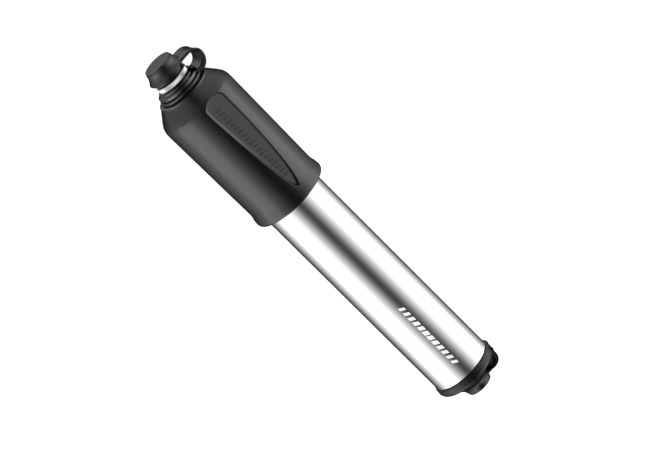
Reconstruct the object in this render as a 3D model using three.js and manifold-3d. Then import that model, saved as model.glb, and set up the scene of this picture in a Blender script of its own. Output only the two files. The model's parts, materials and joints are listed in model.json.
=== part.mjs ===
// A bicycle mini pump. An overlap handle slides over the barrel on a hollow plunger rod, and the
// rod stores a flexible hose that screws into the outlet port at the far end. A rubber cap covers
// the hose and a rubber plug covers the port, each on its own strap.
// Millimetres, +Z up. The pump lies along X with the hose cap at low X and its straps on the +Y
// side. The origin is under the pump's middle, on the surface that the pump lies on.
// Every x in a profile is the distance from the cap's outer face, and the last section moves the
// whole pump so that its middle is at x = 0.

import * as THREE from "three";
import { mergeVertices } from "three/addons/utils/BufferGeometryUtils.js";
import Module from "manifold-3d";

// ---- Driving dimensions ----

const LENGTH = 186; // from the cap's outer face to the plug's outer face
const STROKE = 110; // travel of the handle, rod and piston

const BARREL_R = 13;
const BARREL_BORE_R = 11.7;
const BARREL_START = 26.1;
const BARREL_END = 174.2;

const ROD_R = 7;
const ROD_BORE_R = 5.6;
const RUNNING_FIT = 0.06; // radial clearance of the rod in its guide
const SEAT_GAP = 0.1; // gap between two pieces that sit against each other

const HANDLE_START = 13.9;
const HANDLE_END = 74.8;
const HANDLE_BORE_R = 13.4;
const GRIP_SHOULDER_R = 16.56; // behind the front cone
const GRIP_WAIST_R = 15.95; // the slimmest place, before the rim
const GRIP_RIM_R = 16.66; // the widest place, at the open end
const FRONT_WALL = 3.5; // thickness of the handle's front wall

const RECESS_ANGLE = 18.5; // degrees from +Z towards +Y, and again on the opposite side
const RECESS_TILT = 3.2; // degrees that the floor leans towards the higher angle
const RECESS_FRONT = 20;
const RECESS_WIDE = 23; // where the round front ends
const RECESS_TAPER = 26; // where the sides start to close in
const RECESS_TIP = 69.6;
const RECESS_LOW_REACH = 5.6; // from the middle to the edge at the lower angle
const RECESS_HIGH_REACH = 5.15;
const RECESS_FLOOR_R = 14.9; // distance of the flat floor from the pump's axis

const COLLAR_START = 9.5;
const COLLAR_END = 12.4;
const COLLAR_R = 9.35;
const TETHER_R = 10.3; // of the strap's ring, clamped between the collar nut and the handle

const CAP_END = 7.2; // where the cap meets the hose head
const CAP_STUB_R = 3.7;
const CAP_STUB_LENGTH = 1.6;

const STRAP_THICKNESS = 1.3;
// A strap's angle from +Z towards +Y, where its bend is centred, and how far the bend reaches from
// there towards low x, towards high x and outwards.
const CAP_STRAP = { angle: 102, width: 11.2, x: 8.06, r: 9.9, low: 4, high: 5.7, out: 4.95 };
const PLUG_STRAP = { angle: 88, width: 9, x: 179.3, r: 9.4, low: 4.1, high: 4.1, out: 4.1 };
const BEND_GAP = 0.3; // gap between the two halves of a strap, where it hinges

const PISTON_START = 150.4;
const PISTON_END = 160.5;
const PISTON_R = 11.45;
const PISTON_GROOVE_R = 9.6;

const BLOCK_START = 161.5;
const BLOCK_R = 11.55;
const BLOCK_FLANGE_R = 12.2;
const BLOCK_FACE = 177.1;
const BOOT_END = 178.3; // the end boot's outer face
const VALVE_CHAMBER_R = 4.4;
const VALVE_CHAMBER_END = 170.3;
const SEAT_R = 5.5;
const SEAT_END = 164.2;
const AIRWAY_R = 1.5;

const PORT_R = 4; // M8 outlet thread
const PORT_FLOOR = 172;
const PORT_MOUTH = 180.2;
const PORT_BOSS_R = 5;

const HEAD_START = 7.3;
const HEAD_R = 7.2;
const HEAD_SHANK_R = 5.3;
const HEAD_SHANK_END = 20;
const VALVE_MOUTH_R = 4.2; // takes a tyre valve
const VALVE_MOUTH_END = 17.9;

const HOSE_R = 4;
const HOSE_BORE_R = 2.5;
const HOSE_START = 20.2;
const HOSE_END = 130;
const HOSE_AIRWAY_R = 1.2;
const BARB_R = 2.4;
const BARB_LENGTH = 8;
const FERRULE_R = 5;
const TAIL_END = 142.5;

const FINE = 48; // sides of a round piece as wide as the barrel
const RESTING = 28; // sides of one that the pump lies on, so that their flats keep it from rolling
const COARSE = 32; // sides of one as wide as the rod
const SMALL = 24; // sides of one inside the rod or the valve

// ---- Shapes ----

// A body turned about the X axis. The points are [x, radius], and they close on themselves, or
// start and end on the axis.
function turned(points, sides) {
  const outline = points.map(([x, r]) => new THREE.Vector2(r, x));
  if (THREE.ShapeUtils.area(outline) < 0) outline.reverse();
  if (outline[0].x > 0) outline.push(outline[0].clone());
  return new THREE.LatheGeometry(outline, sides).rotateZ(-Math.PI / 2);
}

// A plain ring from x0 to x1.
function ring(x0, x1, inner, outer, sides) {
  return turned([[x0, inner], [x0, outer], [x1, outer], [x1, inner]], sides);
}

// A ring with a round section, for seals.
function seal(x, inner, outer, sides) {
  const radius = (outer - inner) / 2;
  const corners = [0, 1, 2, 3, 4, 5, 6, 7].map((i) => ((i + 0.5) * Math.PI) / 4);
  const reach = radius / Math.cos(Math.PI / 8);
  return turned(
    corners.map((a) => [x + reach * Math.cos(a), inner + radius + reach * Math.sin(a)]),
    sides,
  );
}

// Turns a body that points along +Y so that it points at an angle from +Z towards +Y.
function atAngle(geometry, degrees) {
  return geometry.rotateX(THREE.MathUtils.degToRad(90 - degrees));
}

const wasm = await Module();
wasm.setup();

function solid(geometry) {
  const bare = geometry.clone();
  bare.deleteAttribute("normal");
  bare.deleteAttribute("uv");
  const merged = mergeVertices(bare, 1e-4);
  return new wasm.Manifold(
    new wasm.Mesh({
      numProp: 3,
      vertProperties: merged.attributes.position.array,
      triVerts: new Uint32Array(merged.index.array),
    }),
  );
}

function geometryOf(body) {
  const mesh = body.getMesh();
  const geometry = new THREE.BufferGeometry();
  geometry.setAttribute("position", new THREE.BufferAttribute(mesh.vertProperties, 3));
  geometry.setIndex(new THREE.BufferAttribute(mesh.triVerts, 1));
  geometry.computeVertexNormals();
  return geometry;
}

function joined(first, ...others) {
  return geometryOf(others.reduce((body, other) => body.add(solid(other)), solid(first)));
}

function cut(first, ...others) {
  return geometryOf(others.reduce((body, other) => body.subtract(solid(other)), solid(first)));
}

// A quarter bend of a strap and the leg that it ends in. side is -1 for the one at lower x, and 1
// for the other. The root is the radius that the leg reaches in to.
function quarterStrap(strap, side, root) {
  const reach = side < 0 ? strap.low : strap.high;
  const gapAngle = BEND_GAP / 2 / reach;
  const steps = [0, 1, 2, 3, 4, 5];
  const arc = (inset) =>
    steps.map((i) => {
      const turn = (Math.PI / 2 - gapAngle) * (i / 5);
      return new THREE.Vector2(
        strap.x + side * (reach - inset) * Math.cos(turn),
        strap.r + (strap.out - inset) * Math.sin(turn),
      );
    });
  const outline = [
    new THREE.Vector2(strap.x + side * (reach - STRAP_THICKNESS), root),
    new THREE.Vector2(strap.x + side * reach, root),
    ...arc(0),
    ...arc(STRAP_THICKNESS).reverse(),
  ];
  const band = new THREE.ExtrudeGeometry(new THREE.Shape(outline), {
    depth: strap.width,
    bevelEnabled: false,
  });
  band.translate(0, 0, -strap.width / 2);
  return atAngle(band, strap.angle);
}

// ---- Cap end ----

function topCap() {
  const cap = turned(
    [
      [0, 0],
      [0, 6.1],
      [2.5, 6.8],
      [3.7, 7.4],
      [4.9, 8.2],
      [5.5, 7.8],
      [CAP_END, 6.5],
      [CAP_END, CAP_STUB_R],
      [CAP_END + CAP_STUB_LENGTH, CAP_STUB_R],
      [CAP_END + CAP_STUB_LENGTH, 0],
    ],
    COARSE,
  );
  return joined(cap, quarterStrap(CAP_STRAP, -1, 5));
}

function capTether() {
  const end = HANDLE_START - SEAT_GAP;
  const clamped = ring(end - STRAP_THICKNESS, end, ROD_R + SEAT_GAP, TETHER_R, COARSE);
  return joined(clamped, quarterStrap(CAP_STRAP, 1, COLLAR_R - 1));
}

function collarNut() {
  return turned(
    [
      [COLLAR_START, ROD_R + SEAT_GAP],
      [COLLAR_START, 7.35],
      [COLLAR_START + 1.5, COLLAR_R],
      [COLLAR_END, COLLAR_R],
      [COLLAR_END, ROD_R + SEAT_GAP],
    ],
    COARSE,
  );
}

// ---- Handle ----

// One edge of a recess's drop outline, from the front to the tip. Its reach from the middle is an
// ellipse at the front, and then follows the curve given for the taper, which runs from 0 to 1.
function recessEdge(reach, taperCurve) {
  const points = [];
  for (let i = 0; i <= 6; i++) {
    const turn = (i / 6) * (Math.PI / 2);
    const x = RECESS_WIDE - (RECESS_WIDE - RECESS_FRONT) * Math.cos(turn);
    points.push(new THREE.Vector2(x, reach * Math.sin(turn)));
  }
  for (let i = 0; i <= 12; i++) {
    const taper = 1 - (1 - i / 12) ** 2;
    const x = RECESS_TAPER + taper * (RECESS_TIP - RECESS_TAPER);
    points.push(new THREE.Vector2(x, reach * taperCurve(taper)));
  }
  return points;
}

function recessCutter() {
  const low = recessEdge(-RECESS_LOW_REACH, (taper) => Math.sqrt(1 - taper));
  const high = recessEdge(RECESS_HIGH_REACH, (taper) => Math.sqrt(1 - taper ** 2));
  const outline = new THREE.Shape([...low, ...high.slice(1, -1).reverse()]);
  const depth = GRIP_RIM_R - RECESS_FLOOR_R + 1;
  const cutter = new THREE.ExtrudeGeometry(outline, { depth, bevelEnabled: false });
  cutter.rotateX(THREE.MathUtils.degToRad(-RECESS_TILT));
  return cutter.translate(0, 0, RECESS_FLOOR_R);
}

function handleShell() {
  const shell = turned(
    [
      [HANDLE_START, ROD_R + SEAT_GAP],
      [HANDLE_START, 10.6],
      [14.15, 11.3],
      [14.75, 11.7],
      [19.4, 15.1],
      [20.9, 16.1],
      [22.5, 16.5],
      [24.1, GRIP_SHOULDER_R],
      [69.1, GRIP_WAIST_R],
      [70.7, 16.1],
      [72.3, 16.5],
      [74, GRIP_RIM_R],
      [HANDLE_END, 16.4],
      [HANDLE_END, HANDLE_BORE_R],
      [HANDLE_START + FRONT_WALL + 2, HANDLE_BORE_R],
      [HANDLE_START + FRONT_WALL, 11.4],
      [HANDLE_START + FRONT_WALL, ROD_R + SEAT_GAP],
    ],
    RESTING,
  );
  const cutters = [RECESS_ANGLE, RECESS_ANGLE + 180].map((angle) =>
    recessCutter().rotateX(THREE.MathUtils.degToRad(-angle)),
  );
  return cut(shell, ...cutters);
}

// ---- Plunger ----

function plungerRod() {
  const shoulder = HANDLE_START + FRONT_WALL + SEAT_GAP;
  return turned(
    [
      [COLLAR_START + SEAT_GAP, ROD_BORE_R],
      [COLLAR_START + SEAT_GAP, ROD_R],
      [shoulder, ROD_R],
      [shoulder, 8.6],
      [shoulder + 2.4, 8.6],
      [shoulder + 2.4, ROD_R],
      [PISTON_START - SEAT_GAP, ROD_R],
      [PISTON_START - SEAT_GAP, ROD_BORE_R],
    ],
    COARSE,
  );
}

function stopBumper() {
  const start = HANDLE_START + FRONT_WALL + 2.4 + 2 * SEAT_GAP;
  return ring(start, start + 3, ROD_R + SEAT_GAP, 9.8, COARSE);
}

function pistonHead() {
  const spigotStart = 144;
  return turned(
    [
      [spigotStart, 0],
      [spigotStart, ROD_BORE_R - SEAT_GAP],
      [PISTON_START, ROD_BORE_R - SEAT_GAP],
      [PISTON_START, PISTON_R],
      [154.9, PISTON_R],
      [154.9, PISTON_GROOVE_R],
      [158.1, PISTON_GROOVE_R],
      [158.1, PISTON_R],
      [PISTON_END - 0.6, PISTON_R],
      [PISTON_END, PISTON_R - 0.6],
      [PISTON_END, 0],
    ],
    FINE,
  );
}

function pistonSeal() {
  return seal(156.5, PISTON_GROOVE_R + 0.15, BARREL_BORE_R - 0.05, FINE);
}

// ---- Barrel ----

function barrelTube() {
  return ring(BARREL_START, BARREL_END, BARREL_BORE_R, BARREL_R, FINE);
}

function guideBush() {
  const hole = ROD_R + RUNNING_FIT;
  const top = BARREL_START - 2.5;
  return turned(
    [
      [top, 9.1],
      [top, BARREL_R - SEAT_GAP],
      [BARREL_START - SEAT_GAP, BARREL_R - SEAT_GAP],
      [BARREL_START - SEAT_GAP, BARREL_BORE_R - SEAT_GAP],
      [BARREL_START + 10, BARREL_BORE_R - SEAT_GAP],
      [BARREL_START + 10, hole],
      [BARREL_START - SEAT_GAP, hole],
      [BARREL_START - SEAT_GAP, 9.1],
    ],
    COARSE,
  );
}

function rodWiper() {
  const end = BARREL_START - 2 * SEAT_GAP;
  return ring(end - 2.1, end, ROD_R + RUNNING_FIT, 9, COARSE);
}

function returnBumper() {
  const end = PISTON_START - STROKE - 1;
  return ring(end - 3, end, ROD_R + 0.2, 11, COARSE);
}

// ---- Outlet ----

function outletBlock() {
  return turned(
    [
      [BLOCK_START, SEAT_R + SEAT_GAP],
      [BLOCK_START, BLOCK_R - 0.5],
      [BLOCK_START + 0.5, BLOCK_R],
      [165.5, BLOCK_R],
      [165.5, 10],
      [168.1, 10],
      [168.1, BLOCK_R],
      [BARREL_END + SEAT_GAP, BLOCK_R],
      [BARREL_END + SEAT_GAP, BLOCK_FLANGE_R],
      [BLOCK_FACE, BLOCK_FLANGE_R],
      [BLOCK_FACE, PORT_BOSS_R],
      [PORT_MOUTH, PORT_BOSS_R],
      [PORT_MOUTH, PORT_R],
      [PORT_FLOOR, PORT_R],
      [PORT_FLOOR, AIRWAY_R],
      [VALVE_CHAMBER_END, AIRWAY_R],
      [VALVE_CHAMBER_END, VALVE_CHAMBER_R],
      [SEAT_END + SEAT_GAP, VALVE_CHAMBER_R],
      [SEAT_END + SEAT_GAP, SEAT_R + SEAT_GAP],
    ],
    COARSE,
  );
}

function outletSeal() {
  return seal(166.8, 10.15, BARREL_BORE_R - 0.05, FINE);
}

function valveSeat() {
  return ring(BLOCK_START + SEAT_GAP, SEAT_END, AIRWAY_R, SEAT_R, SMALL);
}

function valvePoppet() {
  const start = SEAT_END + SEAT_GAP;
  return turned(
    [
      [start, 0],
      [start, 3],
      [start + 1.6, 3],
      [start + 1.6, 1.1],
      [start + 4.2, 1.1],
      [start + 4.2, 0],
    ],
    SMALL,
  );
}

function valveSpring() {
  const wire = 0.3;
  const coil = 2.1;
  const turns = 3;
  const start = SEAT_END + SEAT_GAP + 1.6 + wire + 0.1;
  const end = VALVE_CHAMBER_END - wire - 0.1;
  const stepsPerTurn = 12;
  const points = [];
  for (let i = 0; i <= turns * stepsPerTurn; i++) {
    const turn = (i / stepsPerTurn) * 2 * Math.PI;
    const along = start + ((end - start) * i) / (turns * stepsPerTurn);
    points.push(new THREE.Vector3(along, coil * Math.cos(turn), coil * Math.sin(turn)));
  }
  const section = new THREE.Shape();
  for (let i = 0; i < 6; i++) {
    const a = (i * Math.PI) / 3;
    const corner = [wire * Math.cos(a), wire * Math.sin(a)];
    if (i === 0) section.moveTo(...corner);
    else section.lineTo(...corner);
  }
  return new THREE.ExtrudeGeometry(section, {
    steps: turns * stepsPerTurn,
    extrudePath: new THREE.CatmullRomCurve3(points),
    bevelEnabled: false,
  });
}

function endCapRing() {
  const start = BARREL_END + SEAT_GAP;
  const boot = turned(
    [
      [start, BLOCK_FLANGE_R + SEAT_GAP],
      [start, 13.3],
      [start + 0.6, 13.6],
      [176.2, 13.9],
      [177, 14],
      [177.6, 13.7],
      [BOOT_END, 12.95],
      [BOOT_END, PORT_BOSS_R + 1],
      [BLOCK_FACE + SEAT_GAP, PORT_BOSS_R + 1],
      [BLOCK_FACE + SEAT_GAP, BLOCK_FLANGE_R + SEAT_GAP],
    ],
    RESTING,
  );
  const root = BOOT_END - 0.9;
  const length = PLUG_STRAP.x - BEND_GAP / 2 - root;
  const tab = new THREE.BoxGeometry(length, STRAP_THICKNESS, PLUG_STRAP.width);
  const middle = PLUG_STRAP.r + PLUG_STRAP.out - STRAP_THICKNESS / 2;
  tab.translate(root + length / 2, middle, 0);
  return joined(boot, atAngle(tab, PLUG_STRAP.angle));
}

function outletPlug() {
  const start = BOOT_END + 0.3;
  const ceiling = PORT_MOUTH + 0.3;
  const plug = turned(
    [
      [start, PORT_BOSS_R + 0.8],
      [start, 9.4],
      [start + 0.3, 9.7],
      [179.8, 9.6],
      [181, 8.4],
      [182.2, 7.1],
      [183.6, 6.2],
      [LENGTH, 5.5],
      [LENGTH, 0],
      [ceiling, 0],
      [ceiling, PORT_BOSS_R + 0.8],
    ],
    COARSE,
  );
  return joined(plug, quarterStrap(PLUG_STRAP, 1, 5.3));
}

// ---- Hose ----

function hoseHead() {
  const barbEnd = HEAD_SHANK_END + BARB_LENGTH;
  return turned(
    [
      [HEAD_START, VALVE_MOUTH_R],
      [HEAD_START, HEAD_R - 0.3],
      [HEAD_START + 0.3, HEAD_R],
      [COLLAR_START - 0.4, HEAD_R],
      [COLLAR_START - SEAT_GAP, HEAD_R - 0.3],
      [COLLAR_START - SEAT_GAP, HEAD_SHANK_R],
      [HEAD_SHANK_END, HEAD_SHANK_R],
      [HEAD_SHANK_END, BARB_R],
      [barbEnd, BARB_R],
      [barbEnd, HOSE_AIRWAY_R],
      [VALVE_MOUTH_END, HOSE_AIRWAY_R],
      [VALVE_MOUTH_END, VALVE_MOUTH_R],
    ],
    COARSE,
  );
}

function headGasket() {
  return ring(15.3, VALVE_MOUTH_END - SEAT_GAP, 2.4, VALVE_MOUTH_R - SEAT_GAP, COARSE);
}

function hoseTube() {
  return ring(HOSE_START, HOSE_END, HOSE_BORE_R, HOSE_R, SMALL);
}

function ferrule(start) {
  return ring(start, start + BARB_LENGTH, HOSE_R + SEAT_GAP, FERRULE_R, SMALL);
}

function hoseTailFitting() {
  const flange = HOSE_END + SEAT_GAP;
  const thread = flange + 3.4;
  const threadR = PORT_R - 0.15;
  return turned(
    [
      [HOSE_END - BARB_LENGTH, HOSE_AIRWAY_R],
      [HOSE_END - BARB_LENGTH, BARB_R],
      [flange, BARB_R],
      [flange, 5.2],
      [thread, 5.2],
      [thread, 3],
      [thread + 1.8, 3],
      [thread + 1.8, threadR],
      [TAIL_END, threadR],
      [TAIL_END, HOSE_AIRWAY_R],
    ],
    SMALL,
  );
}

function tailSeal() {
  return seal(HOSE_END + SEAT_GAP + 3.4 + 0.9, 3.1, 4.5, SMALL);
}

// ---- Assembly ----

const FINISHES = {
  rubber: { color: 0x161616, roughness: 0.6, metalness: 0 },
  plastic: { color: 0x1c1c1d, roughness: 0.42, metalness: 0 },
  anodised: { color: 0x141415, roughness: 0.3, metalness: 0.6 },
  polished: { color: 0xd9dadc, roughness: 0.12, metalness: 1 },
  alloy: { color: 0xb9babd, roughness: 0.35, metalness: 1 },
  acetal: { color: 0x2a2a2c, roughness: 0.5, metalness: 0 },
  brass: { color: 0xb08d4a, roughness: 0.35, metalness: 1 },
  steel: { color: 0xa8aaad, roughness: 0.3, metalness: 1 },
  seal: { color: 0x0f0f0f, roughness: 0.5, metalness: 0 },
};

const pump = new THREE.Group();
pump.position.set(-LENGTH / 2, 0, GRIP_RIM_R);

function place(name, geometry, finish) {
  const mesh = new THREE.Mesh(geometry, new THREE.MeshStandardMaterial(FINISHES[finish]));
  mesh.name = name;
  pump.add(mesh);
}

place("top_cap", topCap(), "rubber");
place("cap_tether", capTether(), "rubber");
place("collar_nut", collarNut(), "anodised");
place("handle_shell", handleShell(), "plastic");
place("plunger_rod", plungerRod(), "alloy");
place("stop_bumper", stopBumper(), "seal");
place("piston_head", pistonHead(), "acetal");
place("piston_o_ring", pistonSeal(), "seal");
place("barrel_tube", barrelTube(), "polished");
place("guide_bush", guideBush(), "acetal");
place("rod_wiper", rodWiper(), "seal");
place("return_bumper", returnBumper(), "seal");
place("outlet_block", outletBlock(), "alloy");
place("outlet_o_ring", outletSeal(), "seal");
place("valve_seat", valveSeat(), "brass");
place("valve_poppet", valvePoppet(), "seal");
place("valve_spring", valveSpring(), "steel");
place("end_cap_ring", endCapRing(), "rubber");
place("outlet_plug", outletPlug(), "rubber");
place("hose_head", hoseHead(), "alloy");
place("head_gasket", headGasket(), "seal");
place("hose_tube", hoseTube(), "rubber");
place("upper_ferrule", ferrule(HOSE_START + SEAT_GAP), "steel");
place("lower_ferrule", ferrule(HOSE_END - SEAT_GAP - BARB_LENGTH), "steel");
place("hose_tail_fitting", hoseTailFitting(), "brass");
place("tail_o_ring", tailSeal(), "seal");

const part = new THREE.Group();
part.name = "mini_pump";
part.add(pump);

export default part;
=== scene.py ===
"""The mini pump's looks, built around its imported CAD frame.

Metres throughout, in the frame's own axes: the pump lies along X with the hose cap at low X, and
its straps are on the +Y side. Profiles are given in millimetres, as (distance from the cap's outer
face, radius, fillet), because that is how a turned piece is drawn.
"""

import json
import math

import bpy
from mathutils import Matrix, Vector


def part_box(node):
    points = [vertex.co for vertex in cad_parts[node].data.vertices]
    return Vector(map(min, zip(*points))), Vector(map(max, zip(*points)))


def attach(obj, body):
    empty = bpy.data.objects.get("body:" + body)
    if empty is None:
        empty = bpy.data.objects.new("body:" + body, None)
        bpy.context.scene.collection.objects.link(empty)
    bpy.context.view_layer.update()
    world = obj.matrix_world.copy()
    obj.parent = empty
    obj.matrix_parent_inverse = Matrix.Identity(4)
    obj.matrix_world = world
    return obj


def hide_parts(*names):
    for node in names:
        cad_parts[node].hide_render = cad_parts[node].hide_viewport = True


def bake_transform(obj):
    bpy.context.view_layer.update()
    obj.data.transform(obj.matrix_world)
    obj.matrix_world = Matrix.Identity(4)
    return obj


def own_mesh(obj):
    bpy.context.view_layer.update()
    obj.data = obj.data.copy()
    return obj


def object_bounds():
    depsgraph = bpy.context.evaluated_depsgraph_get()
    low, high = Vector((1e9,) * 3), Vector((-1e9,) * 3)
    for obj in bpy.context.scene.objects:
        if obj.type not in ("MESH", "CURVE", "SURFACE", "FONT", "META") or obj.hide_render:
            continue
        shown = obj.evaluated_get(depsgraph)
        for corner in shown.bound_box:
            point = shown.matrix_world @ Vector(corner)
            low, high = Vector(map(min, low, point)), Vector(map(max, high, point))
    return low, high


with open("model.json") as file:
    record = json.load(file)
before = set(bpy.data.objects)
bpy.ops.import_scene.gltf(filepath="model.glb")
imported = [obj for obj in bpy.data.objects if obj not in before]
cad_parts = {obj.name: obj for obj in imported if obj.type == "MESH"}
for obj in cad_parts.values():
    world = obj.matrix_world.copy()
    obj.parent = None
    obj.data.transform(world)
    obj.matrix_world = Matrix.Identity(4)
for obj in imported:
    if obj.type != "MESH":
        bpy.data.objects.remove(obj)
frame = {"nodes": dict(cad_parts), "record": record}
cad_low, cad_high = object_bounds()

MM = 0.001
CAP_FACE = cad_low.x
AXIS = (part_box("barrel_tube")[0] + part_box("barrel_tube")[1]) / 2
AXIS_Z = AXIS.z


def start_of(node):
    """Distance in mm from the cap's face to the node's near end."""
    return (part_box(node)[0].x - CAP_FACE) / MM


def end_of(node):
    """Distance in mm from the cap's face to the node's far end."""
    return (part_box(node)[1].x - CAP_FACE) / MM


def radius_of(node):
    """A round node's outer radius in mm, from the side that no strap is on."""
    return (AXIS.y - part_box(node)[0].y) / MM


# ---- Camera ----

CAMERA_DISTANCE = 1.75  # from the pump's axis, square to it
CAMERA_X = -0.628
AIM = Vector((0.0006, 0.0015, AXIS_Z))
IMAGE_TILT = math.radians(44.84)  # of the pump's axis in the picture
LENS = 267.9  # in mm, as the sensor's width is
SENSOR = 36


def make_camera():
    """The photograph's view: from above and a little from the cap's end, with its perspective."""
    data = bpy.data.cameras.new("camera")
    data.sensor_width = SENSOR
    data.lens = LENS
    camera = bpy.data.objects.new("camera", data)
    bpy.context.scene.collection.objects.link(camera)
    place = Vector((CAMERA_X, 0, AXIS_Z + CAMERA_DISTANCE))
    back = (place - AIM).normalized()
    towards_cap = Vector((-1, 0, 0))
    towards_cap = (towards_cap - back * towards_cap.dot(back)).normalized()
    towards_straps = towards_cap.cross(back)
    s, c = math.sin(IMAGE_TILT), math.cos(IMAGE_TILT)
    up = towards_cap * s + towards_straps * c
    right = towards_straps * s - towards_cap * c
    turn = Matrix((right, up, back)).transposed()
    camera.matrix_world = Matrix.Translation(place) @ turn.to_4x4()
    bpy.context.scene.camera = camera


# ---- Materials ----


class Nodes:
    """A material's node tree, with short ways to add and link nodes."""

    def __init__(self, name):
        self.material = bpy.data.materials.new(name)
        self.material.use_nodes = True
        self.tree = self.material.node_tree
        self.shader = self.tree.nodes["Principled BSDF"]
        self.coords = self.tree.nodes.new("ShaderNodeTexCoord").outputs["Object"]

    def add(self, kind):
        return self.tree.nodes.new(kind)

    def link(self, source, target):
        self.tree.links.new(source, target)

    def stretched(self, scale):
        """The object's coordinates, scaled along X, Y and Z."""
        mapping = self.add("ShaderNodeMapping")
        mapping.inputs["Scale"].default_value = scale
        self.link(self.coords, mapping.inputs["Vector"])
        return mapping.outputs["Vector"]

    def noise(self, scale, detail=4.0, rough=0.55, vector=None):
        node = self.add("ShaderNodeTexNoise")
        node.inputs["Scale"].default_value = scale
        node.inputs["Detail"].default_value = detail
        node.inputs["Roughness"].default_value = rough
        self.link(vector or self.coords, node.inputs["Vector"])
        return node.outputs["Fac"]

    def spread(self, source, low, high, start=0.3, stop=0.7):
        """A value between low and high, as the source goes from start to stop."""
        node = self.add("ShaderNodeMapRange")
        node.inputs["From Min"].default_value = start
        node.inputs["From Max"].default_value = stop
        node.inputs["To Min"].default_value = low
        node.inputs["To Max"].default_value = high
        self.link(source, node.inputs["Value"])
        return node.outputs["Result"]

    def mixed(self, source, low, high, start=0.3, stop=0.7):
        """A colour between low and high, as the source goes from start to stop."""
        ramp = self.add("ShaderNodeValToRGB")
        ramp.color_ramp.elements[0].position = start
        ramp.color_ramp.elements[1].position = stop
        ramp.color_ramp.elements[0].color = (*low, 1)
        ramp.color_ramp.elements[1].color = (*high, 1)
        self.link(source, ramp.inputs["Fac"])
        return ramp.outputs["Color"]

    def bump(self, source, strength, depth, under=None):
        """A bumped normal, on top of the one under it if there is one."""
        node = self.add("ShaderNodeBump")
        node.inputs["Strength"].default_value = strength
        node.inputs["Distance"].default_value = depth
        self.link(source, node.inputs["Height"])
        if under:
            self.link(under, node.inputs["Normal"])
        return node.outputs["Normal"]


def grey(value, warmth=0.0):
    """A grey, or a bluish one where the warmth is below zero."""
    return (value * (1 + warmth), value, value * (1 - warmth))


WHITE = (1, 1, 1, 1)
PRINT_PAINTED_GLOW = 0.3  # painted light: an emission glow that keeps the printed white as bright as the lit metal round it


def moulded(name, dark, light, rough, grain, depth, specular=0.5, painted_glow=0.0):
    """A moulded plastic or rubber: cloudy colour, uneven gloss and a fine grain, and a painted
    glow where one is given.
    """
    n = Nodes(name)
    clouds = n.noise(90, 3)
    n.link(n.mixed(clouds, dark, light), n.shader.inputs["Base Color"])
    n.link(n.spread(n.noise(260, 5), rough - 0.04, rough + 0.05), n.shader.inputs["Roughness"])
    n.shader.inputs["Specular IOR Level"].default_value = specular
    # Emission paints light from the surface itself, as a glow that stands in for lamplight.
    n.shader.inputs["Emission Color"].default_value = WHITE
    n.shader.inputs["Emission Strength"].default_value = painted_glow
    fine = n.bump(n.noise(grain, 3, 0.6), 0.3, depth)
    n.link(n.bump(n.noise(380, 2), 0.1, depth * 3, fine), n.shader.inputs["Normal"])
    return n.material


def turned_metal(name, dark, light, rough, lines, depth):
    """A machined metal: fine lines round the axis, uneven gloss and a little colour change."""
    n = Nodes(name)
    n.shader.inputs["Metallic"].default_value = 1
    rings = n.noise(1, 3, 0.6, n.stretched((lines, 60, 60)))
    n.link(n.mixed(n.noise(120, 4), dark, light), n.shader.inputs["Base Color"])
    n.link(n.spread(rings, rough - 0.04, rough + 0.06), n.shader.inputs["Roughness"])
    n.link(n.bump(rings, 0.25, depth), n.shader.inputs["Normal"])
    return n.material


def polished_metal(name):
    """Polished tube: faint drawing lines along the tube, and soft smudges in its gloss."""
    n = Nodes(name)
    n.shader.inputs["Metallic"].default_value = 1
    drawn = n.noise(1, 2, 0.5, n.stretched((25, 2600, 2600)))
    smudge = n.noise(70, 5, 0.6)
    n.link(n.mixed(smudge, grey(0.86), grey(0.9)), n.shader.inputs["Base Color"])
    n.link(n.spread(smudge, 0.07, 0.12), n.shader.inputs["Roughness"])
    n.link(n.bump(drawn, 0.06, 0.00002), n.shader.inputs["Normal"])
    return n.material


PLASTIC_DARK, PLASTIC_LIGHT = grey(0.0022, -0.03), grey(0.004, -0.03)
# Rubbers and plastics: the dark and light colour, roughness, grain's scale and depth, and the
# settings that differ from the usual ones.
MOULDED = {
    "black_plastic": (PLASTIC_DARK, PLASTIC_LIGHT, 0.2, 5200, 0.00003, dict(specular=0.73)),
    "black_rubber": (grey(0.002), grey(0.004), 0.23, 3600, 0.00004, dict(specular=0.72)),
    "boot_rubber": (grey(0.002), grey(0.004), 0.26, 3600, 0.00004, dict(specular=0.42)),
    "seal_rubber": (grey(0.008), grey(0.013), 0.4, 3000, 0.00003, {}),
    "hose_rubber": (grey(0.012), grey(0.02), 0.5, 2400, 0.00005, {}),
    "acetal": (grey(0.015), grey(0.022), 0.35, 2600, 0.00002, {}),
    # The printed white glows with painted light, to look as bright as the lit metal round it.
    "white_print": (grey(0.9), grey(0.95), 0.45, 4000, 0.00001, dict(painted_glow=PRINT_PAINTED_GLOW)),
}
# Machined metals: the dark and light colour, roughness, and the lines' scale and depth.
TURNED = {
    "black_anodised": (grey(0.075), grey(0.1), 0.13, 3000, 0.00001),
    "satin_alloy": (grey(0.7), grey(0.78), 0.24, 450, 0.000001),
    "spring_steel": (grey(0.5), grey(0.58), 0.3, 900, 0.00001),
    "brass": ((0.6, 0.42, 0.16), (0.68, 0.5, 0.22), 0.26, 2600, 0.00001),
}


def make_materials():
    made = {}
    for name, (*look, settings) in MOULDED.items():
        made[name] = moulded(name, *look, **settings)
    for name, look in TURNED.items():
        made[name] = turned_metal(name, *look)
    made["polished_alloy"] = polished_metal("polished_alloy")
    return made


# ---- Shapes ----

HOLD = 0.22  # mm from a fillet to the loop that keeps the flat beside it flat
FILLET_STEPS = 5
SHARP = math.radians(40)  # an edge at least this sharp is shaded as an edge


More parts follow.
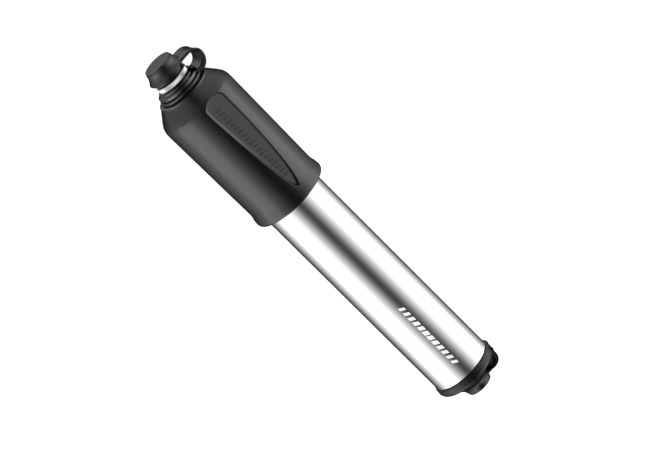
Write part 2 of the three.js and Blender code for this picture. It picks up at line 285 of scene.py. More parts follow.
def rounded(points, closed):
    """The profile with each corner's fillet drawn in, and a loop on each side of it."""
    corners = [Vector(p[:2]) for p in points]
    fillets = [p[2] if len(p) > 2 else 0 for p in points]
    count = len(corners)
    line = []
    for i, corner in enumerate(corners):
        ends = not closed and i in (0, count - 1)
        if ends or not fillets[i]:
            line.append(corner)
            continue
        before = (corners[i - 1] - corner).normalized()
        after = (corners[(i + 1) % count] - corner).normalized()
        half = before.angle(after) / 2
        reach = fillets[i] / math.tan(half)
        centre = corner + (before + after).normalized() * fillets[i] / math.sin(half)
        first = corner + before * reach - centre
        sweep = math.pi - 2 * half
        turn = 1 if first.cross(corner + after * reach - centre) > 0 else -1
        for k in range(FILLET_STEPS + 1):
            line.append(centre + Matrix.Rotation(turn * sweep * k / FILLET_STEPS, 2) @ first)
    held = []
    pairs = list(zip(line, line[1:] + line[:1])) if closed else list(zip(line, line[1:]))
    for a, b in pairs:
        held.append(a)
        length = (b - a).length
        if length > 4 * HOLD:
            step = (b - a).normalized() * HOLD
            held += [a + step, b - step]
    if not closed:
        held.append(line[-1])
    return held


def finish_piece(name, verts, faces, material, body, *nodes, slot=None):
    """Makes the mesh, shades it, and ties it to its body and to the CAD nodes it stands for."""
    mesh = bpy.data.meshes.new(name)
    mesh.from_pydata(verts, [], faces)
    mesh.validate()
    mesh.shade_smooth()
    mesh.set_sharp_from_angle(angle=SHARP)
    obj = bpy.data.objects.new(name, mesh)
    bpy.context.scene.collection.objects.link(obj)
    mesh.materials.append(MATERIALS[material])
    if body:
        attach(obj, body)
    if nodes:
        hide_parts(*nodes)
    return obj


def smooth(t):
    """An eased step from 0 to 1, as t goes from 0 to 1."""
    t = min(1.0, max(0.0, t))
    return t * t * (3 - 2 * t)


def around(x, radius, angle):
    """The point at x mm from the cap's face, at an angle from +Z towards +Y."""
    return (
        CAP_FACE + x * MM,
        AXIS.y + radius * math.sin(angle) * MM,
        AXIS_Z + radius * math.cos(angle) * MM,
    )


def turned_mesh(points, sides, ripple=None):
    """Vertices and faces of a piece turned about the pump's axis."""
    closed = points[0][1] > 0
    line = rounded(points, closed)
    area = sum(a.x * b.y - b.x * a.y for a, b in zip(line, line[1:] + line[:1]))
    if area > 0:
        line.reverse()
    verts, rings = [], []
    for p in line:
        if p.y < 1e-6:
            rings.append([len(verts)] * sides)
            verts.append(around(p.x, 0, 0))
            continue
        rings.append([len(verts) + k for k in range(sides)])
        for k in range(sides):
            angle = 2 * math.pi * k / sides
            lift = ripple(p.x, p.y, angle) if ripple else 0
            verts.append(around(p.x, p.y + lift, angle))
    faces = []
    pairs = zip(rings, rings[1:] + rings[:1]) if closed else zip(rings, rings[1:])
    for a, b in pairs:
        for k in range(sides):
            loop = [a[k], a[k - 1], b[k - 1], b[k]]
            face = list(dict.fromkeys(loop))
            if len(face) > 2:
                faces.append(face)
    return verts, faces


def turned(name, points, sides, material, body, *nodes, ripple=None, slot=None):
    """A piece turned about the pump's axis. A ripple moves its surface out by some mm."""
    verts, faces = turned_mesh(points, sides, ripple)
    return finish_piece(name, verts, faces, material, body, *nodes, slot=slot)


WIDE, MEDIUM, NARROW = 192, 128, 72  # sides of a turned piece, by its size


# ---- Cap end ----

CAP_GAP = 0.1  # mm between the cap's skirt and the hose head


def make_top_cap():
    end = start_of("hose_head") - CAP_GAP
    stub_end = end_of("top_cap")
    turned(
        "cap_body",
        [
            (0, 0),
            (0, 6.15, 0.12),
            (0.5, 5.9, 0.12),
            (0.9, 6.35, 0.2),
            (2.5, 6.75, 1.5),
            (3.7, 7.35, 1.0),
            (4.9, 8.2, 0.25),
            (5.6, 7.75, 0.4),
            (end - 0.4, 6.6, 0.4),
            (end, 6.4, 0.15),
            (end, 3.7, 0.2),
            (stub_end, 3.7, 0.35),
            (stub_end, 0),
        ],
        MEDIUM,
        "black_rubber",
        "hose_cap",
        "top_cap",
    )


# A strap's angle from +Z towards +Y and its width; the x and r that its bend is centred on; how
# far the bend reaches from there towards low x, towards high x and outwards; and the share of
# itself by which the inner side of its far half deepens.
STRAP_THICKNESS = 1.3
CAP_STRAP = {
    "angle": math.radians(102),
    "width": 11.2,
    "x": 8.06,
    "r": 9.9,
    "low": 4.0,
    "high": 5.7,
    "out": 4.95,
    "swell": 1.0,
}
PLUG_STRAP = {
    "angle": math.radians(88),
    "width": 9.0,
    "x": 179.3,
    "r": 9.4,
    "low": 4.1,
    "high": 4.1,
    "out": 4.1,
    "swell": 0,
}


def bend_points(strap, first, last, steps):
    """Points round a strap's bend, as (x, r, turn). Turn goes from 0 on the low-x side to pi."""
    points = []
    for k in range(steps + 1):
        turn = first + (last - first) * k / steps
        reach = strap["low"] if turn < math.pi / 2 else strap["high"]
        x = strap["x"] - (reach - STRAP_THICKNESS / 2) * math.cos(turn)
        out = (strap["out"] - STRAP_THICKNESS / 2) * math.sin(turn)
        points.append((x, strap["r"] + out, turn))
    return points


def leg_points(start, stop, turn, steps=8):
    """Points along a strap's straight leg, its last one left out."""
    return [
        (
            start[0] + (stop[0] - start[0]) * k / steps,
            start[1] + (stop[1] - start[1]) * k / steps,
            turn,
        )
        for k in range(steps)
    ]


def strap_section(width, corner=0.35, steps=4, flats=10):
    """Rounded rectangle as (across, out) points, with its wide faces divided."""
    thick = STRAP_THICKNESS
    w, t = width / 2 - corner, thick / 2 - corner
    section = []
    for i, (sw, st) in enumerate([(1, 1), (-1, 1), (-1, -1), (1, -1)]):
        for k in range(steps + 1):
            a = math.pi / 2 * (i + k / steps)
            section.append((sw * w + corner * math.cos(a), st * t + corner * math.sin(a)))
        if i in (0, 2):
            side = 1 if i == 0 else -1
            for k in range(1, flats):
                section.append((side * w * (1 - 2 * k / flats), side * thick / 2))
    return section


STRAP_SADDLE = 0.35  # mm that a bent strap's middle sinks below its edges
SWELL_FROM = 0.45  # share of the bend after which the inner side starts to deepen
SWELL_SHARE = 0.55  # share of the bend in which it deepens


def foot_swell(strap, turn):
    """How much deeper the inner side of a strap's far half is than the band's."""
    return 1 + strap["swell"] * smooth((turn / math.pi - SWELL_FROM) / SWELL_SHARE)


def make_strap(name, strap, path, material):
    """A band along the path of (x, r, turn), from its start to its end."""
    section = strap_section(strap["width"])
    verts, faces = [], []
    along = Vector((1, 0, 0))
    radial = Vector((0, math.sin(strap["angle"]), math.cos(strap["angle"])))
    across = along.cross(radial)
    for x, r, turn in path:
        centre = Vector((CAP_FACE, AXIS.y, AXIS_Z)) + (along * x + radial * r) * MM
        out = -along * math.cos(turn) + radial * math.sin(turn)
        swell = foot_swell(strap, turn)
        for w, t in section:
            t *= swell if t < 0 else 1
            sink = STRAP_SADDLE * math.sin(turn) * (1 - (2 * w / strap["width"]) ** 2)
            verts.append(centre + (across * w + out * (t - sink)) * MM)
    count = len(section)
    for i in range(len(path) - 1):
        for k in range(count):
            a, b = i * count + k, i * count + (k + 1) % count
            faces.append([a, b, b + count, a + count])
    faces.append(list(range(count))[::-1])
    faces.append([(len(path) - 1) * count + k for k in range(count)])
    obj = finish_piece(name, verts, faces, material, None, slot="black_rubber")
    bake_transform(obj)


CAP_STRAP_ROOTS = (5.5, 7.3)  # radii in mm where its legs start, in the cap and in the tether
PLUG_STRAP_FOOT = 5.6  # the same for the other strap's leg in the plug


def make_cap_strap():
    strap = CAP_STRAP
    bend = bend_points(strap, 0, math.pi, 48)
    near = leg_points((bend[0][0], CAP_STRAP_ROOTS[0]), bend[0], 0)
    far = leg_points((bend[-1][0], CAP_STRAP_ROOTS[1]), bend[-1], math.pi)[::-1]
    path = near + bend + far
    make_strap("cap_strap", strap, path, "black_rubber")


# The hump where the plug's strap grows out of the boot, as (x, r) of the strap's middle.
PLUG_STRAP_ROOT = [
    (175.5, 12.8),
    (175.9, 13.02),
    (176.3, 13.2),
    (176.8, 13.3),
    (177.3, 13.22),
    (177.7, 13.05),
    (178.1, 12.9),
    (178.5, 12.85),
]


def make_plug_strap():
    strap = PLUG_STRAP
    bend = bend_points(strap, math.pi / 2, math.pi, 28)
    near = [(x, r, math.pi / 2) for x, r in PLUG_STRAP_ROOT]
    near += leg_points(PLUG_STRAP_ROOT[-1], bend[0], math.pi / 2)[1:]
    far = leg_points((bend[-1][0], PLUG_STRAP_FOOT), bend[-1], math.pi)[::-1]
    path = near + bend + far
    make_strap("plug_strap", strap, path, "boot_rubber")


TETHER_THICKNESS = 1.3  # mm along the pump


def make_cap_tether():
    end = end_of("cap_tether")
    start = end - TETHER_THICKNESS
    turned(
        "tether_ring",
        [
            (start, 7.1, 0.1),
            (start, 9.8, 0.3),
            (start + 0.35, 10.1, 0.3),
            (end, 10.1, 0.3),
            (end, 7.1, 0.1),
        ],
        MEDIUM,
        "black_rubber",
        "plunger",
        "cap_tether",
    )


def make_collar_nut():
    start, end = start_of("collar_nut"), end_of("collar_nut")
    radius = radius_of("collar_nut")
    turned(
        "collar",
        [
            (start, 7.1, 0.1),
            (start, 7.4, 0.1),
            (start + 0.45, 8.15, 0.25),
            (start + 0.85, 8.2, 0.15),
            (start + 1.45, 9.25, 0.3),
            (start + 1.7, radius, 0.3),
            (end - 0.3, radius, 0.3),
            (end, radius - 0.35, 0.15),
            (end, 7.1, 0.1),
        ],
        MEDIUM,
        "black_anodised",
        "plunger",
        "collar_nut",
    )


# ---- Handle ----

RECESS_ANGLE = math.radians(18.5)  # of a recess's middle, from +Z towards +Y
RECESS_FLOOR = 14.9  # radius of the floor at the middle
RECESS_TILT = math.radians(4.8)  # of the floor, towards the higher edge
RECESS_FRONT = 20.0  # x in mm where its rounded front starts
RECESS_WIDE = 23.0  # where it reaches its full width
RECESS_TAPER = 26.0  # where it starts to narrow
RECESS_TIP = 69.6  # where it ends in a point
RECESS_WIDTH = {-1: 5.6, 1: 5.15}  # from the middle to the lower and the higher edge
RECESS_WALL = {-1: 0.9, 1: 0.35}  # width of the slope from the edge to the floor
NO_RECESS = 0.3  # half the width that the mesh keeps for a recess where there is none
SLOPE_STEP = 0.05  # mm each way that the edge's slope is measured over
STEEPEST = 0.2  # smallest cosine that the flat floor's radius is worked out with

# The handle's outer outline, from its front wall to its rim over the barrel.
HANDLE_OUTSIDE = [
    (13.9, 9.3),
    (13.9, 10.6, 0.2),
    (14.1, 11.5, 0.15),
    (14.8, 11.65, 0.2),
    (19.4, 15.1, 3.0),
    (20.9, 16.05, 2.0),
    (22.5, 16.5, 3.0),
    (24.1, 16.56),
    (69.1, 15.95, 4.0),
    (70.7, 16.1, 2.0),
    (72.3, 16.5, 2.0),
    (74.0, 16.66, 1.0),
    (74.8, 16.4, 0.25),
    (74.8, 13.4),
]


def recess_reach(x, side):
    """From the recess's middle to its lower (-1) or higher (1) edge at x, in mm."""
    if x <= RECESS_FRONT or x >= RECESS_TIP:
        return 0
    if x < RECESS_WIDE:
        before = (RECESS_WIDE - x) / (RECESS_WIDE - RECESS_FRONT)
        return RECESS_WIDTH[side] * math.sqrt(1 - before**2)
    along = max(0, (x - RECESS_TAPER) / (RECESS_TIP - RECESS_TAPER))
    return RECESS_WIDTH[side] * math.sqrt(1 - along if side < 0 else 1 - along**2)


def edge_stretch(x, side):
    """How much longer a line straight across the pump is than one square to the edge."""
    before, after = recess_reach(x - SLOPE_STEP, side), recess_reach(x + SLOPE_STEP, side)
    return math.hypot(1, (after - before) / (2 * SLOPE_STEP))


def recess_floor(angle):
    """The floor's radius at an angle from the middle of a recess."""
    return RECESS_FLOOR * math.cos(RECESS_TILT) / max(STEEPEST, math.cos(angle - RECESS_TILT))


def recessed(x, radius, angle):
    """The handle's radius at an angle from the middle of a recess."""
    floor = recess_floor(angle)
    if floor >= radius:
        return radius
    across = radius * math.sin(angle)
    side = 1 if across > 0 else -1
    reach = recess_reach(x, side)
    inwards = (reach - abs(across)) / edge_stretch(x, side)
    return radius - (radius - floor) * smooth(inwards / RECESS_WALL[side])


COLUMN_COUNTS = (10, 16, 8, 60)  # over the lower wall, the floor, the higher wall and the rest


def handle_columns(x, radius):
    """Angles round the handle at x, so that columns follow both walls of both recesses."""
    stops = []
    for side in (-1, 1):
        reach = max(NO_RECESS, recess_reach(x, side))
        wall = min(RECESS_WALL[side] * edge_stretch(x, side), reach / 2)
        pair = [side * math.asin((reach - inset) / radius) for inset in (0, wall)]
        stops += pair if side < 0 else pair[::-1]
    stops.append(stops[0] + math.pi)
    angles = []
    for turn in (0, math.pi):
        for low, high, count in zip(stops, stops[1:], COLUMN_COUNTS):
            angles += [turn + low + (high - low) * k / count for k in range(count)]
    return angles


FINE_ROW = 0.15  # mm between rows along the recess, and elsewhere
COARSE_ROW = 0.35
LONG_PART = 2  # a part of the outline longer than this always gets fine rows
FRONT_MARGIN = 0.5  # mm before the recess where fine rows start


def handle_rows():
    """The handle's outline, with rows close enough to follow the recess."""
    outline = rounded(HANDLE_OUTSIDE, False)
    rows = []
    for a, b in zip(outline, outline[1:]):
        long = b.x - a.x > LONG_PART
        at_front = RECESS_FRONT - FRONT_MARGIN < b.x < RECESS_WIDE
        step = FINE_ROW if long or at_front else COARSE_ROW
        count = max(1, math.ceil((b - a).length / step)) if b.x > a.x + 1e-6 else 1
        rows += [a + (b - a) * k / count for k in range(count)]
    return rows + [outline[-1]]


COLUMNS_FROM = 14.2  # radius from which a row can be cut by a recess
COLUMNS_UNTIL = 74.7  # x of the handle's end face, which none cuts
PLAIN_RADIUS = 16  # radius that other rows take their columns from


def make_handle():
    """The handle, as one grid of rows round its outline and columns that follow the recesses."""
    inside = rounded(
        [
            (74.8, 13.4),
            (19.4, 13.4, 0.5),
            (17.4, 11.4, 0.5),
            (17.4, 7.1, 0.1),
            (13.9, 7.1, 0.1),
            (13.9, 9.3),
        ],
        False,
    )
    loop = handle_rows() + inside[1:-1]
    verts, faces = [], []
    for p in loop:
        on_outside = p.y > COLUMNS_FROM and p.x < COLUMNS_UNTIL
        columns = handle_columns(p.x, p.y if on_outside else PLAIN_RADIUS)
        for angle in columns:
            local = (angle + math.pi / 2) % math.pi - math.pi / 2
            radius = recessed(p.x, p.y, local) if on_outside else p.y
            verts.append(around(p.x, radius, angle + RECESS_ANGLE))
    count = len(columns)
    for i in range(len(loop)):
        j = (i + 1) % len(loop)
        for k in range(count):
            m = (k + 1) % count
            faces.append([i * count + k, j * count + k, j * count + m, i * count + m])
    finish_piece("handle", verts, faces, "black_plastic", "plunger", "handle_shell")


BAR_STEPS = 6
BAR_ROOT = 0.1  # mm that a bar goes into the surface below it
BAR_WALL = 0.4  # share of a bar's height that is straight, before its draft
BAR_RADIUS = 16  # mm across the surface in a radian


def raised_bars(name, bars, surface, middle, proud, draft, material, body, slot):
    """Low slanted bars on a surface. Each bar is (x, across, length, width, slant) in mm."""
    verts, faces = [], []
    steps = BAR_STEPS
    for x, across, length, width, slant in bars:
        first = len(verts)
        for inset, lift in ((0, -BAR_ROOT), (0, proud * BAR_WALL), (draft, proud)):
            for k in range(steps + 1):
                part = k / steps - 0.5
                local = (across + (length - 2 * inset) * part) / BAR_RADIUS
                for edge in (-1, 1):
                    shift = slant * part + edge * (width / 2 - inset)
                    verts.append(around(x + shift, surface(local) + lift, middle + local))
        row = 2 * (steps + 1)
        rim = [2 * k for k in range(steps + 1)] + [2 * k + 1 for k in range(steps, -1, -1)]
        for level in (0, row):
            for a, b in zip(rim, rim[1:] + rim[:1]):
                faces.append([first + level + i for i in (a, b, b + row, a + row)])
        for k in range(steps):
            a = first + 2 * k
            faces.append([a, a + 1, a + 3, a + 2])
            a += 2 * row
            faces.append([a, a + 2, a + 3, a + 1])
    return finish_piece(name, verts, faces, material, body, slot=slot)


TICK_COUNT = 19
TICK_START = 26  # x of the first tick, in mm
TICK_PITCH = 2.05
TICK_LENGTHS = (3.0, 2.4, 2.4)  # in turn along the row
TICK_ROOM = 0.45  # largest share of the recess's width that a tick takes
TICK_WIDTH = 0.85
TICK_SLANT = 1.0
TICK_ACROSS = -1.0  # of the first tick, from the recess's middle
TICK_CLIMB = 0.075  # that each tick is further across than the last
TICK_HEIGHT = 0.32
TICK_DRAFT = 0.16


def make_recess_ticks():
    """A row of raised grip ticks along the floor of each recess."""
    bars = []
    for k in range(TICK_COUNT):
        x = TICK_START + TICK_PITCH * k
        room = recess_reach(x, -1) + recess_reach(x, 1)
        length = min(TICK_LENGTHS[k % 3], room * TICK_ROOM)
        bars.append((x, TICK_ACROSS + TICK_CLIMB * k, length, TICK_WIDTH, TICK_SLANT))
    for k, name in enumerate(("recess_ticks", "back_recess_ticks")):
        raised_bars(
            name,
            bars,
            recess_floor,
            RECESS_ANGLE + math.pi * k,
            TICK_HEIGHT,
            TICK_DRAFT,
            "black_plastic",
            "plunger",
            None,
        )


# ---- Barrel and outlet ----


def make_barrel():
    start, end = start_of("barrel_tube"), end_of("barrel_tube")
    radius = radius_of("barrel_tube")
    turned(
        "barrel",
        [
            (start, 11.7, 0.2),
            (start, radius, 0.3),
            (end, radius, 0.2),
            (end, 11.7, 0.2),
        ],
        WIDE,
        "polished_alloy",
        "barrel",
        "barrel_tube",
    )


STRIPE_GROUPS = (135.6, 152.3)  # x of each group's first bar, in mm
STRIPE_BARS = 6  # in a group
STRIPE_PITCH = 2.8
STRIPE_LENGTH = 2.6
STRIPE_SLANT = 1.3
STRIPE_WIDEST = 2.15  # of the bars, which are widest where the groups meet
STRIPE_NARROWING = 0.16  # from one bar to the next
STRIPE_ANGLE = math.radians(-2.7)  # from +Z towards +Y
STRIPE_HEIGHT = 0.03
STRIPE_DRAFT = 0.01


def make_barrel_print():
    """A generic stripe of slanted bars, printed where a label would be."""
    radius = radius_of("barrel_tube")
    bars = []
    for group, first in enumerate(STRIPE_GROUPS):
        for k in range(STRIPE_BARS):
            away = k if group else STRIPE_BARS - 1 - k
            width = STRIPE_WIDEST - STRIPE_NARROWING * away
            bars.append((first + STRIPE_PITCH * k, 0, STRIPE_LENGTH, width, STRIPE_SLANT))
    raised_bars(
        "barrel_stripe",
        bars,
        lambda angle: radius,
        STRIPE_ANGLE,
        STRIPE_HEIGHT,
        STRIPE_DRAFT,
        "white_print",
        "barrel",
        "polished_alloy",
    )


BOOT_END = 178.3  # x of the boot's own end face, in mm; the strap's root goes on past it


def make_end_ring():
    start, end = start_of("end_cap_ring"), BOOT_END
    turned(
        "end_boot",
        [
            (start, 12.3, 0.1),
            (start, 13.3, 0.15),
            (start + 0.7, 13.6, 0.5),
            (177.0, 13.75, 0.5),
            (177.8, 13.45, 0.3),
            (end, 12.95, 0.2),
            (end, 6.0, 0.3),
            (177.2, 6.0, 0.1),
            (177.2, 12.3, 0.1),
        ],
        WIDE,
        "boot_rubber",
        "barrel",
        "end_cap_ring",
        slot="black_rubber",
    )


def make_outlet_plug():
    start, end = start_of("outlet_plug"), end_of("outlet_plug")
    turned(
        "plug_body",
        [
            (start, 5.8, 0.15),
            (start, 9.45, 0.2),
            (start + 0.4, 9.7, 0.2),
            (179.8, 9.6, 0.4),
            (181.0, 8.35, 1.0),
            (182.2, 7.1, 1.5),
            (183.6, 6.2, 2.0),
            (end, 5.5, 0.3),
            (end, 0),
            (180.5, 0),
            (180.5, 5.8, 0.2),
        ],
        MEDIUM,
        "boot_rubber",
        "port_plug",
        "outlet_plug",
        slot="black_rubber",
    )


# ---- Hose, plunger and valve ----

THREAD_PITCH = 1.25
THREAD_DEPTH = 0.5
THREAD_SLOPE = 1.4  # above 1, the groove gets a flat bottom
THREAD_ROWS = 8  # in a pitch


def threaded(x, angle):
    """How far a thread's groove sinks at a place round a screw."""
    phase = (x / THREAD_PITCH - angle / (2 * math.pi)) % 1
    return -THREAD_DEPTH * min(1, abs(2 * phase - 1) * THREAD_SLOPE)


def thread_rows(start, end, radius):
    """Profile points close enough together to follow a thread."""
    count = round((end - start) / THREAD_PITCH * THREAD_ROWS)
    return [(start + (end - start) * k / count, radius) for k in range(count + 1)]


KNURL_TEETH = 64
KNURL_SLOPE = 0.16  # mm that a tooth falls from its crest to its groove
KNURL_GROOVE = 0.3  # depth of the narrow groove itself
KNURL_STEPS = 8  # sides of the mesh in a tooth
KNURL_MARGIN = 0.05  # mm below the rim where the knurl still reaches


def knurled(angle):
    """How far the knurl sinks at an angle round the hose head."""
    phase = (angle * KNURL_TEETH / (2 * math.pi)) % 1
    side = abs(2 * phase - 1)
    return -KNURL_SLOPE * side - KNURL_GROOVE * max(0, 4 * side - 3)


def make_hose_head():
    start, end = start_of("hose_head"), end_of("hose_head")
    rim = radius_of("hose_head")

    def ripple(x, radius, angle):
        return knurled(angle) if radius > rim - KNURL_MARGIN else 0

    turned(
        "hose_fitting",
        [
            (start, 4.2, 0.25),
            (start, rim - 0.35, 0.1),
            (start + 0.3, rim),
            (9.1, rim),
            (9.4, rim - 0.35, 0.1),
            (9.4, 5.3, 0.1),
            (20.0, 5.3, 0.2),
            (20.0, 2.4, 0.1),
            (end, 2.4, 0.3),
            (end, 1.2, 0.2),
            (17.9, 1.2, 0.1),
            (17.9, 4.2, 0.2),
        ],
        KNURL_TEETH * KNURL_STEPS,
        "satin_alloy",
        "hose",
        "hose_head",
        ripple=ripple,
    )


TAIL_THREAD = 135.6  # x where the tail fitting's thread starts, and the outlet port's
PORT_THREAD = 172.6
THREAD_MARGIN = 0.1
TAIL_CORE = 3.5  # the tail fitting is threaded outside this radius, and the port inside its own
PORT_WALL = 4.05


def make_tail_fitting():
    start, end = start_of("hose_tail_fitting"), end_of("hose_tail_fitting")

    def ripple(x, radius, angle):
        on_thread = x > TAIL_THREAD - THREAD_MARGIN and radius > TAIL_CORE
        return threaded(x, angle) if on_thread else 0

    turned(
        "screw_fitting",
        [
            (start, 1.2, 0.15),
            (start, 2.4, 0.3),
            (130.1, 2.4, 0.1),
            (130.1, 5.2, 0.3),
            (133.5, 5.2, 0.3),
            (133.5, 3.0, 0.1),
            (135.3, 3.0, 0.1),
            *thread_rows(TAIL_THREAD, end - 0.3, 3.85),
            (end, 3.3, 0.2),
            (end, 1.2, 0.2),
        ],
        NARROW,
        "brass",
        "hose",
        "hose_tail_fitting",
        ripple=ripple,
    )


def make_outlet_block():
    start, end = start_of("outlet_block"), end_of("outlet_block")

    def ripple(x, radius, angle):
        on_thread = x > PORT_THREAD - THREAD_MARGIN and radius < PORT_WALL
        return threaded(x, angle) if on_thread else 0

    turned(
        "outlet_body",
        [
            (start, 5.6, 0.1),
            (start, 11.55, 0.45),
            (165.5, 11.55, 0.15),
            (165.5, 10.0, 0.3),
            (168.1, 10.0, 0.3),
            (168.1, 11.55, 0.15),
            (174.3, 11.55, 0.1),
            (174.3, 12.2, 0.2),
            (177.1, 12.2, 0.2),
            (177.1, 5.0, 0.2),
            (end, 5.0, 0.3),
            (end, 4.3, 0.1),
            *thread_rows(PORT_THREAD, end - 0.4, 4.0)[::-1],
            (172.0, 3.4, 0.1),
            (172.0, 1.5, 0.1),
            (170.3, 1.5, 0.1),
            (170.3, 4.4, 0.2),
            (164.3, 4.4, 0.1),
            (164.3, 5.6, 0.1),
        ],
        MEDIUM,
        "satin_alloy",
        "barrel",
        "outlet_block",
        ripple=ripple,
    )


def make_rod():
    start, end = start_of("plunger_rod"), end_of("plunger_rod")
    turned(
        "plunger_tube",
        [
            (start, 5.6, 0.15),
            (start, 7.0, 0.2),
            (17.5, 7.0, 0.1),
            (17.5, 8.6, 0.2),
            (19.9, 8.6, 0.2),
            (19.9, 7.0, 0.3),
            (end, 7.0, 0.3),
            (end, 5.6, 0.2),
        ],
        MEDIUM,
        "satin_alloy",
        "plunger",
        "plunger_rod",
    )


def make_piston():
    start, end = start_of("piston_head"), end_of("piston_head")
    turned(
        "piston",
        [
            (start, 0),
            (start, 5.5, 0.4),
            (150.4, 5.5, 0.1),
            (150.4, 11.45, 0.4),
            (154.9, 11.45, 0.15),
            (154.9, 9.6, 0.3),
            (158.1, 9.6, 0.3),
            (158.1, 11.45, 0.15),
            (end, 11.45, 0.6),
            (end, 7.0, 0.2),
            (end - 0.4, 6.4, 0.2),
            (end - 0.4, 0),
        ],
        MEDIUM,
        "acetal",
        "piston_seal",
        "piston_head",
    )


def make_guide_bush():
    start, end = start_of("guide_bush"), end_of("guide_bush")
    turned(
        "barrel_bush",
        [
            (start, 9.1, 0.2),
            (start, 12.9, 0.6),
            (26.0, 12.9, 0.1),
            (26.0, 11.6, 0.1),
            (end, 11.6, 0.3),
            (end, 7.06, 0.3),
            (26.0, 7.06, 0.1),
            (26.0, 9.1, 0.1),
        ],
        MEDIUM,
        "acetal",
        "barrel",
        "guide_bush",
    )


def make_poppet():
    start, end = start_of("valve_poppet"), end_of("valve_poppet")
    turned(
        "poppet",
        [
            (start, 0),
            (start, 2.0, 0.1),
            (start + 0.35, 3.0, 0.2),
            (start + 1.6, 3.0, 0.2),
            (start + 1.6, 1.1, 0.3),
            (end, 1.1, 0.3),
            (end, 0),
        ],
        NARROW,
        "seal_rubber",
        "valve",
        "valve_poppet",
    )


SPRING_WIRE = 0.3  # radius of the wire
WIRE_SIDES = 12
SPRING_TURNS = 4.5  # with one closed coil at each end
CLOSED_PITCH = 0.62
SPRING_STEPS = 28  # in a turn


def spring_place(turn, start, end):
    """How far along the pump the spring's wire is after some turns."""
    closed = min(turn, 1) + max(0, turn - (SPRING_TURNS - 1))
    opened = min(max(turn - 1, 0), SPRING_TURNS - 2) / (SPRING_TURNS - 2)
    return start + CLOSED_PITCH * closed + (end - start - 2 * CLOSED_PITCH) * opened


def make_spring():
    """The valve's spring, a wire coiled round the pump's axis."""
    start = start_of("valve_spring") + SPRING_WIRE
    end = end_of("valve_spring") - SPRING_WIRE
    coil = radius_of("valve_spring") - SPRING_WIRE
    count = WIRE_SIDES
    around_wire = [2 * math.pi * k / count for k in range(count)]
    rows = round(SPRING_TURNS * SPRING_STEPS) + 1
    verts, faces = [], []
    for i in range(rows):
        turn = i / SPRING_STEPS
        x = spring_place(turn, start, end)
        for a in around_wire:
            radius = coil + SPRING_WIRE * math.cos(a)
            verts.append(around(x + SPRING_WIRE * math.sin(a), radius, 2 * math.pi * turn))
    for i in range(rows - 1):
        for k in range(count):
            a, b = i * count + k, i * count + (k + 1) % count
            faces.append([a, a + count, b + count, b])
    faces.append(list(range(count)))
    faces.append([(rows - 1) * count + k for k in range(count)][::-1])
    spring = finish_piece("spring", verts, faces, "spring_steel", "barrel", "valve_spring")
    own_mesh(spring)


# Plain rings: the CAD node, the piece's name, its bore, its edge fillet, finish and body.
RINGS = [
    ("stop_bumper", "handle_bumper", 7.1, 0.7, "seal_rubber", "plunger"),
    ("rod_wiper", "wiper", 7.06, 0.3, "seal_rubber", "barrel"),
    ("return_bumper", "piston_bumper", 7.2, 0.7, "seal_rubber", "barrel"),
    ("valve_seat", "seat", 1.5, 0.3, "brass", "barrel"),
    ("head_gasket", "mouth_gasket", 2.4, 0.4, "seal_rubber", "hose"),
    ("hose_tube", "hose", 2.5, 0.2, "hose_rubber", "hose"),
    ("upper_ferrule", "head_ferrule", 4.1, 0.3, "satin_alloy", "hose"),
    ("lower_ferrule", "tail_ferrule", 4.1, 0.3, "satin_alloy", "hose"),
]
# O-rings: the CAD node, the piece's name and its body.
SEALS = [
    ("piston_o_ring", "piston_seal_ring", "piston_seal"),
    ("outlet_o_ring", "outlet_seal_ring", "barrel"),
    ("tail_o_ring", "tail_seal_ring", "hose"),
]


def make_rings():
    for node, name, bore, fillet, finish, body in RINGS:
        start, end, radius = start_of(node), end_of(node), radius_of(node)
        profile = [
            (start, bore, 0.1),
            (start, radius, fillet),
            (end, radius, fillet),
            (end, bore, 0.1),
        ]
        turned(name, profile, MEDIUM, finish, body, node)


SEAL_STEPS = 20  # round a seal's own section


def make_seals():
    for node, name, body in SEALS:
        middle = (start_of(node) + end_of(node)) / 2
        wire = (end_of(node) - start_of(node)) / 2
        centre = radius_of(node) - wire
        turns = [2 * math.pi * k / SEAL_STEPS for k in range(SEAL_STEPS)]
        circle = [(middle + wire * math.cos(a), centre + wire * math.sin(a)) for a in turns]
        turned(name, circle, WIDE, "seal_rubber", body, node)


# ---- Stage and light ----

FLOOR_SIZE = 4.0  # half its width, in metres
FLOOR_GLOW = 0.75  # lifts the pale floor to the photograph's white


def make_floor():
    size = FLOOR_SIZE
    bottom = cad_low.z
    mesh = bpy.data.meshes.new("floor")
    corners = [(-size, -size), (size, -size), (size, size), (-size, size)]
    mesh.from_pydata([(x, y, bottom) for x, y in corners], [], [[0, 1, 2, 3]])
    floor = bpy.data.objects.new("floor", mesh)
    bpy.context.scene.collection.objects.link(floor)
    n = Nodes("pale_floor")
    n.link(n.mixed(n.noise(8, 3), grey(0.86), grey(0.88)), n.shader.inputs["Base Color"])
    n.shader.inputs["Roughness"].default_value = 0.9
    n.shader.inputs["Emission Color"].default_value = WHITE
    n.shader.inputs["Emission Strength"].default_value = FLOOR_GLOW
    mesh.materials.append(n.material)
    floor.visible_glossy = False


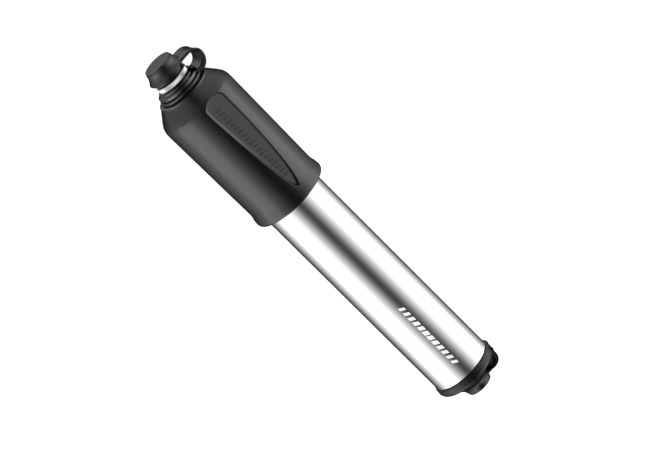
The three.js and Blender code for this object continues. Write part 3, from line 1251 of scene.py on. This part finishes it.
# The studio's brightness by the angle in degrees round the pump's axis, from straight above:
# along the pump, and then in front of its cap.
STUDIO = [
    (0, 0.06),
    (7, 0.09),
    (14, 0.18),
    (21, 0.33),
    (28, 0.52),
    (35, 0.75),
    (42, 0.95),
    (48, 1.2),
    (54, 1.8),
    (60, 2.05),
    (92, 2.05),
    (100, 1.5),
    (108, 1.0),
    (114, 0.78),
    (127, 0.46),
    (140, 0.2),
    (150, 0.1),
    (160, 0.04),
    (180, 0.01),
]
FRONT = [
    (0, 0.12),
    (20, 0.3),
    (60, 0.8),
    (100, 0.75),
    (125, 0.65),
    (148, 0.55),
    (163, 0.95),
    (180, 1.05),
]
BRIGHTEST = 2.1  # level that 1 stands for in the curves
STUDIO_LEAN = math.radians(3)  # of the whole studio round the pump, towards its straps
# How much of the studio's side is seen, by the x of the direction from -1 to 1.
SIDE_SHARE = [(-1, 0), (-0.55, 0.02), (-0.35, 0.5), (-0.1, 1), (1, 1)]


def float_curve(tree, source, points):
    """A curve node through the points, which lie between 0 and 1 both ways."""
    node = tree.nodes.new("ShaderNodeFloatCurve")
    curve = node.mapping.curves[0].points
    while len(curve) < len(points):
        curve.new(0.5, 0.5)
    for point, place in zip(curve, points):
        point.location = place
        point.handle_type = "VECTOR"
    node.mapping.update()
    tree.links.new(source, node.inputs["Value"])
    return node.outputs["Value"]


def world_math(tree, operation, first, second=None):
    """The result of a math node on one or two sockets or numbers."""
    node = tree.nodes.new("ShaderNodeMath")
    node.operation = operation
    for socket, value in zip(node.inputs, (first, second)):
        if isinstance(value, (int, float)):
            socket.default_value = value
        elif value is not None:
            tree.links.new(value, socket)
    return node.outputs["Value"]


def make_light():
    """Soft light along both sides of the pump, under a dark ceiling, and in front of its cap."""
    world = bpy.data.worlds.new("studio")
    bpy.context.scene.world = world
    world.use_nodes = True
    tree = world.node_tree
    coords = tree.nodes.new("ShaderNodeTexCoord")
    leaning = tree.nodes.new("ShaderNodeVectorRotate")
    leaning.rotation_type = "X_AXIS"
    leaning.inputs["Angle"].default_value = STUDIO_LEAN
    tree.links.new(coords.outputs["Generated"], leaning.inputs["Vector"])
    split = tree.nodes.new("ShaderNodeSeparateXYZ")
    tree.links.new(leaning.outputs["Vector"], split.inputs["Vector"])
    sideways = world_math(tree, "ABSOLUTE", split.outputs["Y"])
    angle = world_math(tree, "ARCTAN2", sideways, split.outputs["Z"])
    turn = world_math(tree, "DIVIDE", angle, math.pi)
    side, front = [
        float_curve(tree, turn, [(a / 180, level / BRIGHTEST) for a, level in table])
        for table in (STUDIO, FRONT)
    ]
    along = world_math(tree, "DIVIDE", world_math(tree, "ADD", split.outputs["X"], 1), 2)
    share = float_curve(tree, along, [((x + 1) / 2, level) for x, level in SIDE_SHARE])
    mix = tree.nodes.new("ShaderNodeMix")  # its inputs 0, 2 and 3 are the factor, A and B
    for socket, source in ((0, share), (2, front), (3, side)):
        tree.links.new(source, mix.inputs[socket])
    background = tree.nodes["Background"]
    background.inputs["Color"].default_value = WHITE
    level = world_math(tree, "MULTIPLY", mix.outputs[0], BRIGHTEST)
    tree.links.new(level, background.inputs["Strength"])
    bpy.context.scene.view_settings.view_transform = "Standard"


make_camera()
MATERIALS = make_materials()
make_top_cap()
make_cap_tether()
make_collar_nut()
make_handle()
make_recess_ticks()
make_barrel()
make_barrel_print()
make_end_ring()
make_outlet_plug()
make_cap_strap()
make_plug_strap()
make_hose_head()
make_tail_fitting()
make_outlet_block()
make_rod()
make_piston()
make_guide_bush()
make_poppet()
make_spring()
make_rings()
make_seals()
make_floor()
make_light()

# Every CAD node has a piece in its place. It still wears the material of its own slot.
slots = {s["node"]: s["material_slot"] for s in frame["record"]["subparts"]}
for node, obj in frame["nodes"].items():
    obj.data.materials.clear()
    obj.data.materials.append(MATERIALS[slots[node]])
